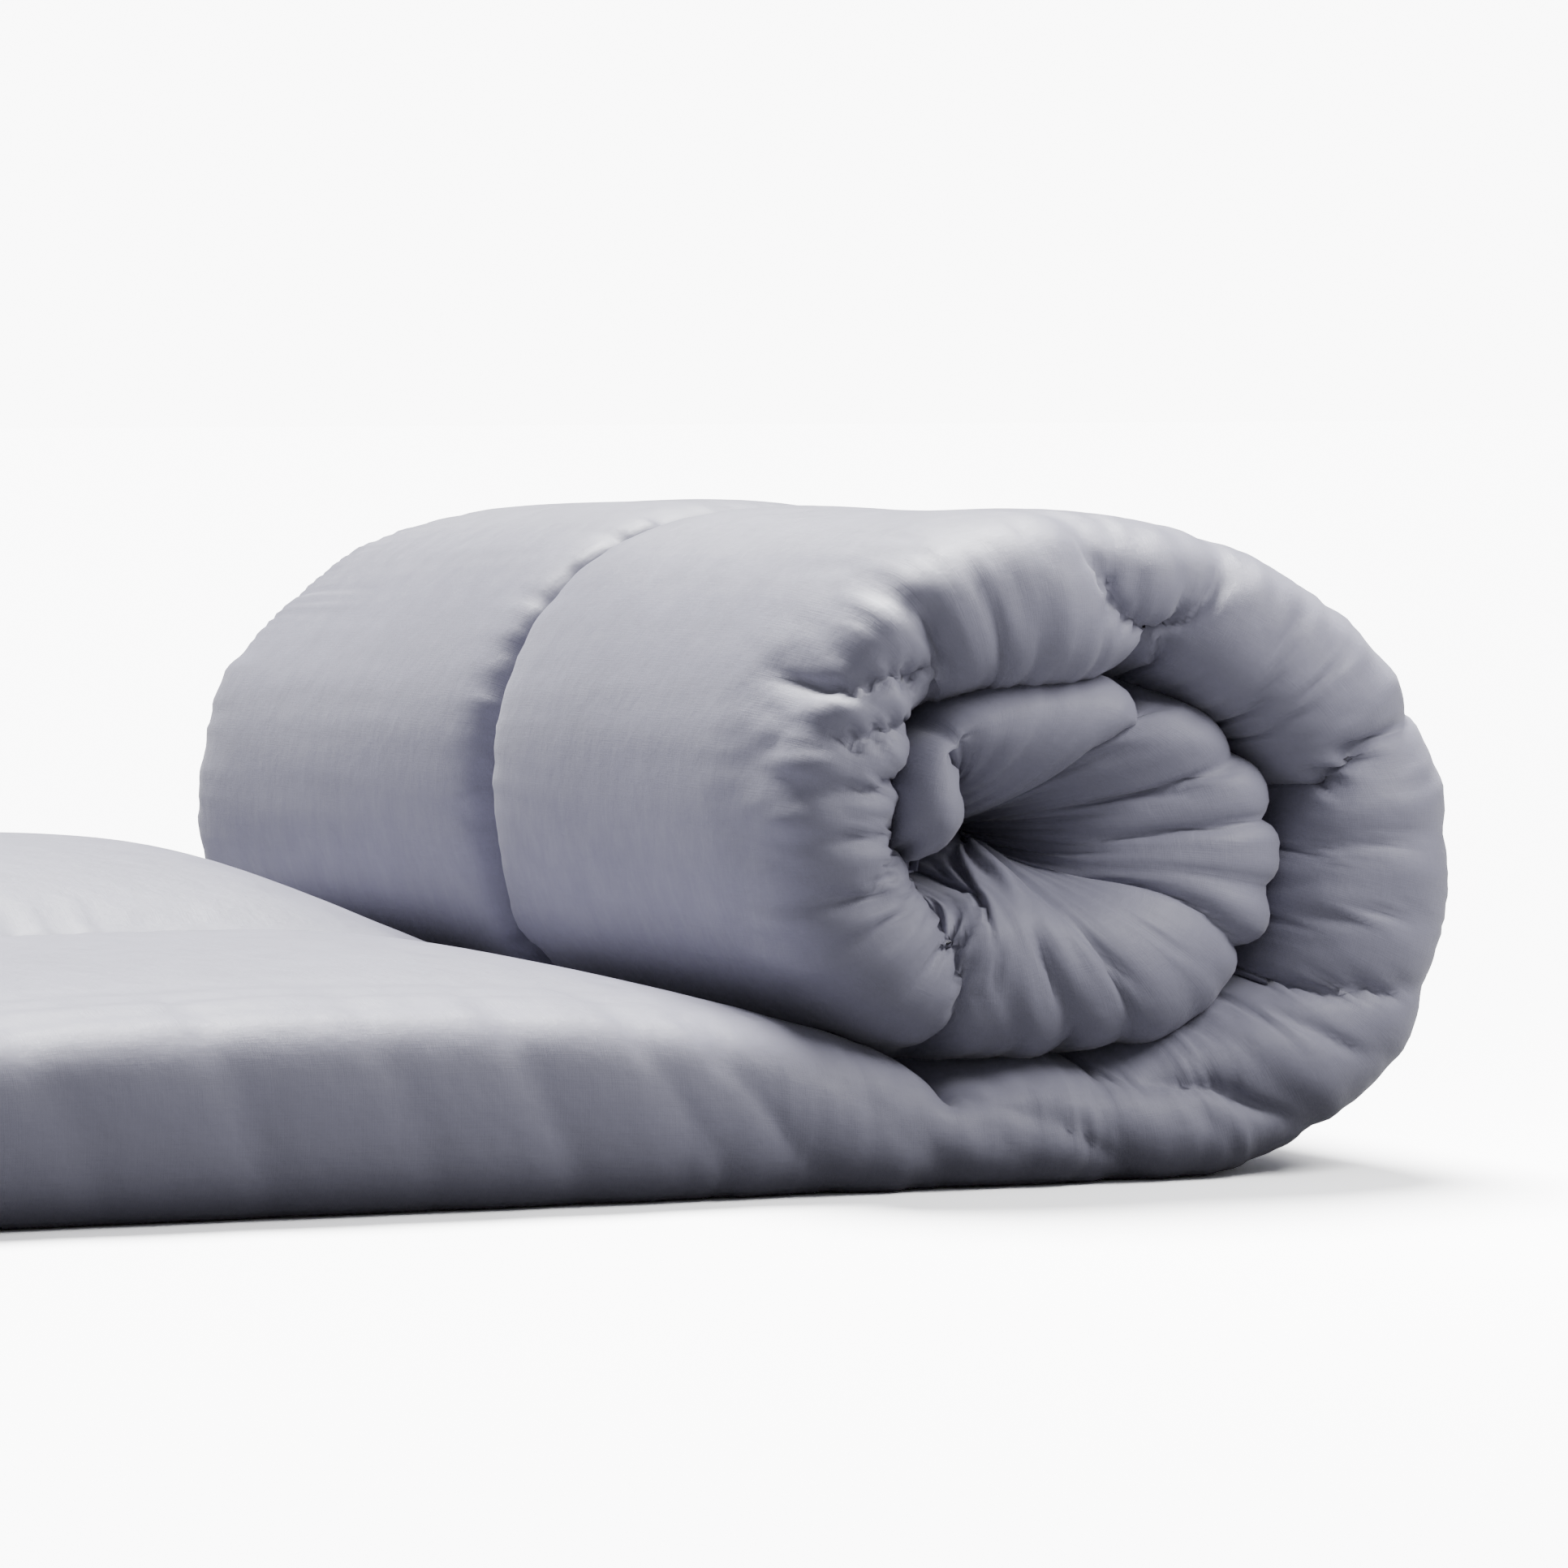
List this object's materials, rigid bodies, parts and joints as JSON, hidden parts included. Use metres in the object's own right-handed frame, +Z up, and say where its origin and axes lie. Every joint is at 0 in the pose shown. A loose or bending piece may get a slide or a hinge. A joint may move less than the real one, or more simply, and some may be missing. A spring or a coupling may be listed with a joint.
{
  "type": "duvet",
  "caption": "Quilted double duvet folded in half lengthwise and rolled up from one end, with the free end lying flat in front of the roll.",
  "frame": {"origin": "middle of the underside of the whole box, on the ground", "axes": "+X from the free foot end towards the roll, +Y from the folded edge to the open edges, +Z up"},
  "size_m": [0.9798, 0.978, 0.347],
  "materials": {
    "face_fabric": "smooth brushed microfibre, lavender grey, soft satin sheen",
    "back_fabric": "smooth brushed microfibre, lavender grey",
    "fill": "white polyester fibre wadding",
    "thread": "polyester sewing thread, grey",
    "hem": "folded microfibre, lavender grey",
    "label": "white satin ribbon, blank"
  },
  "bodies": {
    "root": {"face_fabric_panel": "face_fabric", "back_fabric_panel": "back_fabric", "fill_middle_channel": "fill", "fill_outer_side_channel": "fill", "fill_inner_side_channel": "fill", "quilting_thread_outer_half": "thread", "quilting_thread_inner_half": "thread", "side_hem_outer_half": "hem", "side_hem_inner_half": "hem", "foot_end_hem": "hem", "head_end_hem": "hem", "side_hem_topstitching": "thread", "end_hem_topstitching": "thread", "care_label": "label"}
  },
  "joints": []
}
